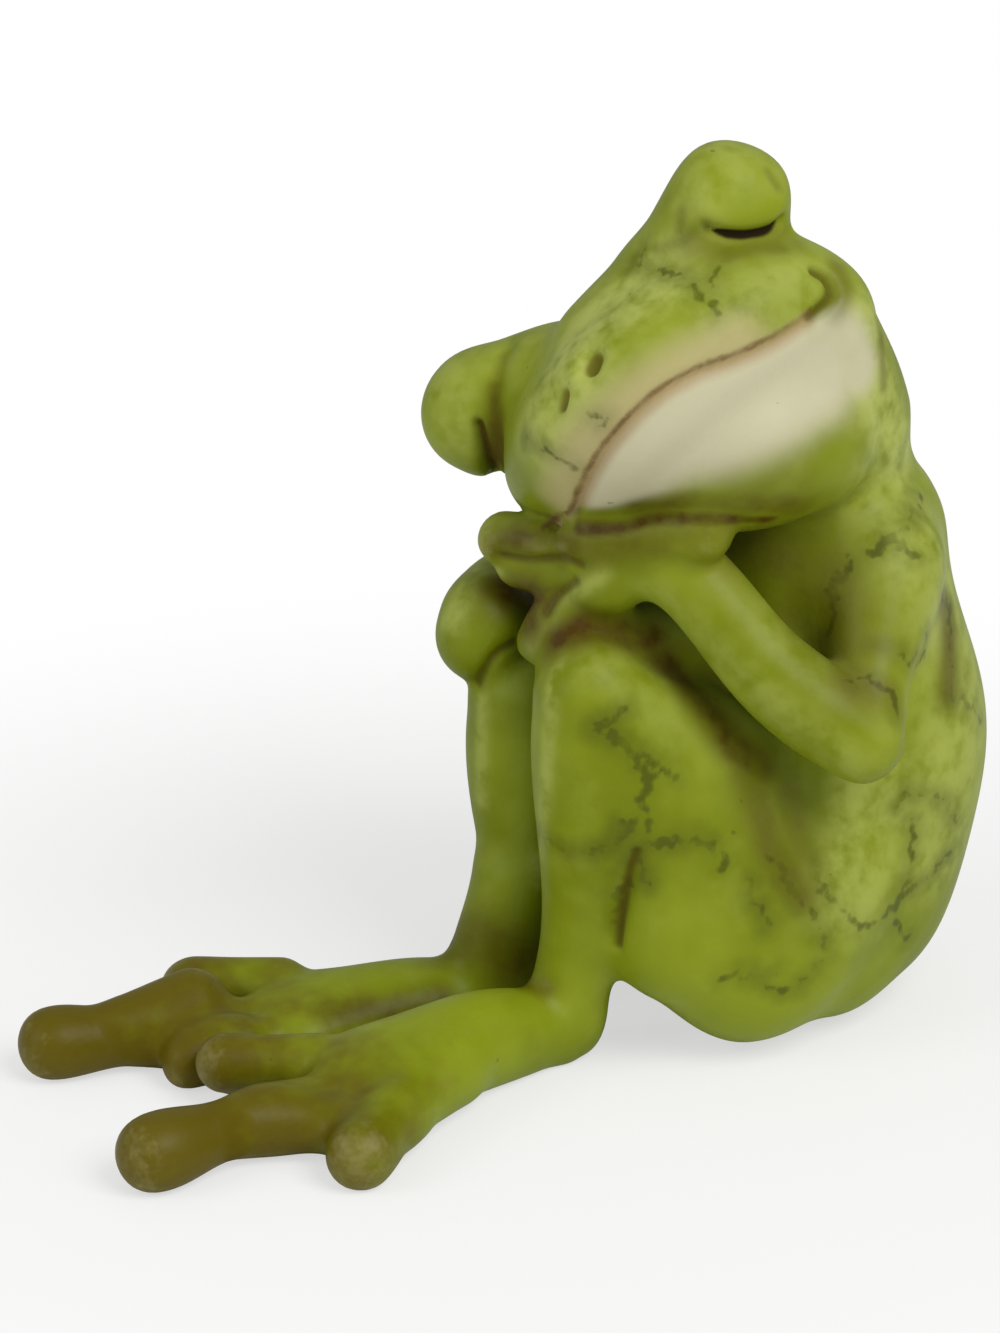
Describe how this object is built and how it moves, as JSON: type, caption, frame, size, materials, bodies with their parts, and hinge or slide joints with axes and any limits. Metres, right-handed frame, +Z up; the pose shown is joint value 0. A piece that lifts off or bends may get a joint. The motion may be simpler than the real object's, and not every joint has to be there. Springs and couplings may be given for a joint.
{
  "type": "frog figurine",
  "caption": "Sitting frog ornament of pinned, painted resin castings: knees drawn up, head tipped onto its hands with eyes closed; stands on its seat and feet.",
  "frame": {"origin": "on the shelf, under the middle of the felt seat pad", "axes": "+Z up; the frog faces -Y, towards its toes; its left side is +X"},
  "size_m": [0.084, 0.1624, 0.1477],
  "materials": {
    "painted_resin": "cast resin, hand painted leaf green with a cream throat and brown veins, satin lacquer",
    "foot_resin": "cast resin, hand painted green fading to olive brown at the toes, satin lacquer",
    "dowel_steel": "drawn steel wire",
    "stopper": "soft moulded stopper",
    "felt": "pressed wool felt"
  },
  "bodies": {
    "root": {"torso_shell": "painted_resin", "head": "painted_resin", "left_arm": "painted_resin", "right_arm": "painted_resin", "left_leg": "painted_resin", "right_leg": "painted_resin", "left_foot": "foot_resin", "right_foot": "foot_resin", "neck_pin": "dowel_steel", "left_shoulder_pin": "dowel_steel", "right_shoulder_pin": "dowel_steel", "left_hip_pin": "dowel_steel", "right_hip_pin": "dowel_steel", "left_ankle_pin": "dowel_steel", "right_ankle_pin": "dowel_steel", "base_plug": "stopper", "seat_pad": "felt"}
  },
  "joints": []
}
